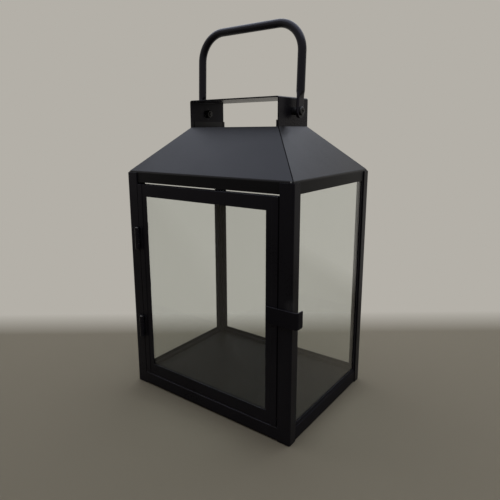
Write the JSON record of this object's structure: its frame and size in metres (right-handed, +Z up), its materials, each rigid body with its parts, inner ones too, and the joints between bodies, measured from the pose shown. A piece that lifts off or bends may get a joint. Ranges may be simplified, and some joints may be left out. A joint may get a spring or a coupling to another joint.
{
  "type": "lantern",
  "caption": "Free-standing sheet-metal and glass candle lantern with a hipped roof, an open chimney, a hinged glazed front door with a strap clasp, and a folding tube handle.",
  "frame": {"origin": "middle of the underside, on the plane that the lantern stands on", "axes": "+Z up, -Y towards the door, +X to the right seen from the door side"},
  "size_m": [0.2062, 0.1557, 0.3787],
  "materials": {
    "frame_paint": "satin black powder coat",
    "clear_glass": "clear float glass",
    "hinge_pin_steel": "bare steel",
    "black_fastener": "black plated, semi gloss"
  },
  "bodies": {
    "lantern_frame": {"base_floor": "frame_paint", "candle_tray": "frame_paint", "base_rail_front": "frame_paint", "base_rail_back": "frame_paint", "base_rail_left": "frame_paint", "base_rail_right": "frame_paint", "post_front_left": "frame_paint", "post_front_right": "frame_paint", "post_back_left": "frame_paint", "post_back_right": "frame_paint", "glass_left": "clear_glass", "glass_right": "clear_glass", "glass_back": "clear_glass", "roof_shell": "frame_paint", "chimney_band": "frame_paint", "hinge_post_leaf_lower": "frame_paint", "hinge_post_leaf_upper": "frame_paint", "hinge_pin_lower": "hinge_pin_steel", "hinge_pin_upper": "hinge_pin_steel", "handle_screw_left": "black_fastener", "handle_screw_right": "black_fastener", "handle_spacer_left": "black_fastener", "handle_spacer_right": "black_fastener", "handle_nut_left": "black_fastener", "handle_nut_right": "black_fastener"},
    "door": {"door_stile_hinge": "frame_paint", "door_stile_clasp": "frame_paint", "door_rail_top": "frame_paint", "door_rail_bottom": "frame_paint", "door_glass": "clear_glass", "door_glass_clips": "frame_paint", "door_clasp": "frame_paint", "hinge_door_leaf_lower": "frame_paint", "hinge_door_leaf_upper": "frame_paint"},
    "handle": {"handle_bail": "frame_paint"}
  },
  "joints": [
    {"name": "door_hinge", "type": "hinge", "parent": "lantern_frame", "child": "door", "pos_m": [-0.086, -0.0782, 0.11825], "axis": [0, 0, -1], "range_deg": [0, 175]},
    {"name": "handle_pivot", "type": "hinge", "parent": "lantern_frame", "child": "handle", "pos_m": [0, 0, 0.2942], "axis": [1, 0, 0], "range_deg": [-112, 116.6]}
  ]
}
